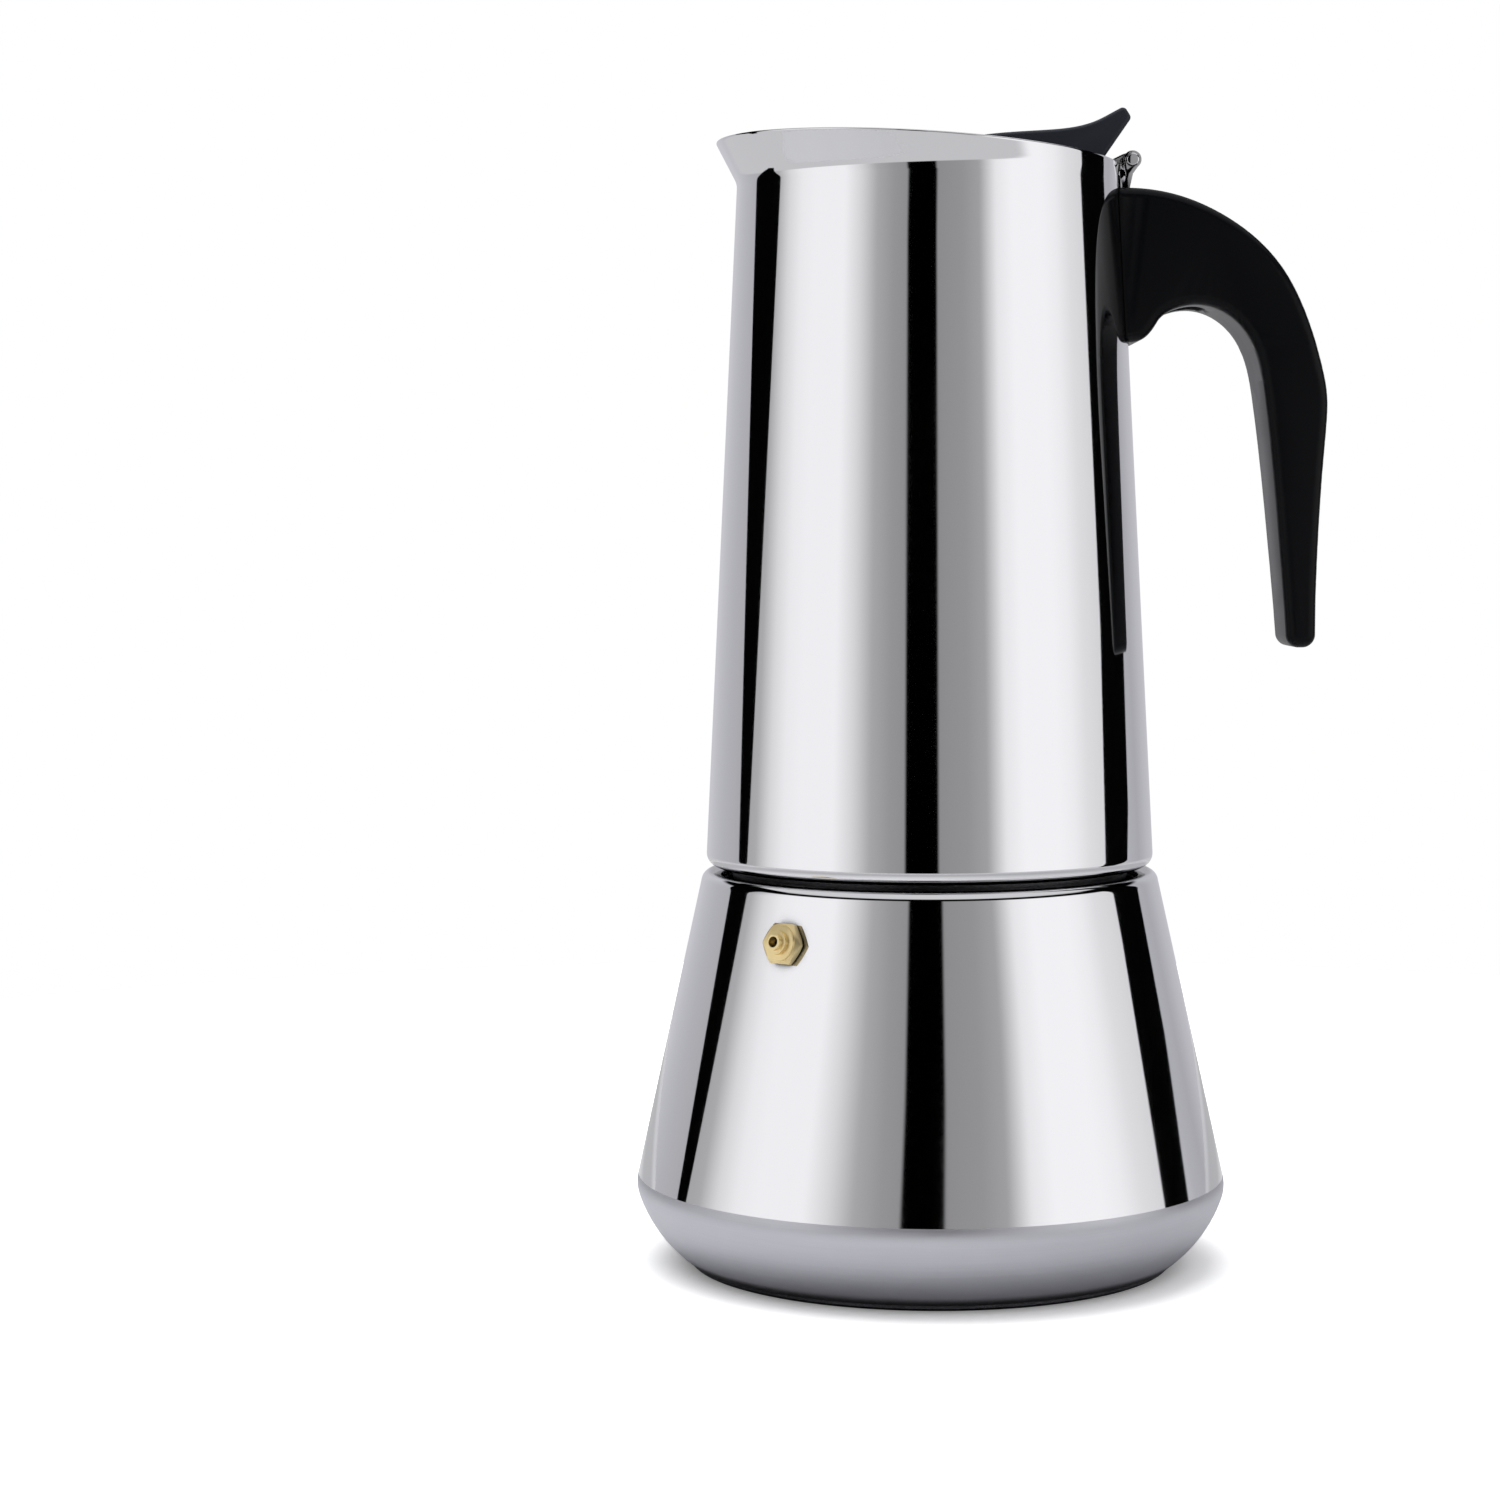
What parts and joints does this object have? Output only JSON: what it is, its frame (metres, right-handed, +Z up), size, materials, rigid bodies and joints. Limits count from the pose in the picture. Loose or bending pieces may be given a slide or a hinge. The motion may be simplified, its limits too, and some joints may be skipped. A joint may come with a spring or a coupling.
{
  "type": "stovetop coffee maker",
  "caption": "Tall stovetop coffee maker: a polished steel jug with a hinged lid and black handle, screwed on to a conical boiler with a brass safety valve.",
  "frame": {"origin": "Middle of the underside of the base disc, on the axis of the boiler and the jug.", "axes": "+Z up along the axis, +X towards the handle, -X towards the pouring lip, -Y the side with the safety valve."},
  "size_m": [0.1396, 0.12, 0.2332],
  "materials": {
    "polished_steel": "mirror polished",
    "brushed_steel": "fine brushed",
    "valve_brass": "turned",
    "handle_plastic": "satin moulded",
    "lever_plastic": "satin moulded",
    "seal_rubber": "silicone"
  },
  "bodies": {
    "boiler": {"boiler_shell": "polished_steel", "base_disc": "brushed_steel", "boiler_neck": "brushed_steel", "valve_body": "valve_brass", "valve_washer": "seal_rubber", "valve_nut": "valve_brass", "valve_seat": "valve_brass", "valve_spring": "brushed_steel"},
    "valve_poppet": {"valve_poppet": "valve_brass"},
    "funnel": {"funnel_basket": "brushed_steel", "basket_strainer": "brushed_steel", "funnel_stem": "brushed_steel"},
    "jug": {"jug_shell": "polished_steel", "jug_thread_ring": "brushed_steel", "sealing_gasket": "seal_rubber", "filter_plate": "brushed_steel", "jug_floor": "brushed_steel", "riser_tube": "brushed_steel", "riser_cap": "brushed_steel", "handle_bracket": "polished_steel", "handle_grip": "handle_plastic", "handle_screw": "brushed_steel", "handle_washer": "brushed_steel", "hinge_pin": "polished_steel"},
    "lid": {"lid_shell": "polished_steel", "lid_leaf": "polished_steel", "lid_lever": "lever_plastic", "lever_screw": "brushed_steel", "lever_washer": "brushed_steel"}
  },
  "joints": [
    {"name": "jug_rise", "type": "slide", "parent": "boiler", "child": "funnel", "axis": [0, 0, 1], "range_m": [0, 0.008]},
    {"name": "jug_turn", "type": "hinge", "parent": "funnel", "child": "jug", "pos_m": [0, 0, 0.09], "axis": [0, 0, 1], "range_deg": [0, 720]},
    {"name": "lid_hinge", "type": "hinge", "parent": "jug", "child": "lid", "pos_m": [0.0406, 0, 0.2231], "axis": [0, 1, 0], "range_deg": [0, 110]},
    {"name": "valve_lift", "type": "slide", "parent": "boiler", "child": "valve_poppet", "axis": [-0.5957, -0.7736, 0.216], "range_m": [0, 0.001], "stiffness_N_per_m": 2000, "springref_m": -0.001, "deforming": ["valve_spring"]}
  ],
  "couplings": [
    {"joint": "jug_rise", "follows": "jug_turn", "m_per_rad": 0.00063662}
  ]
}
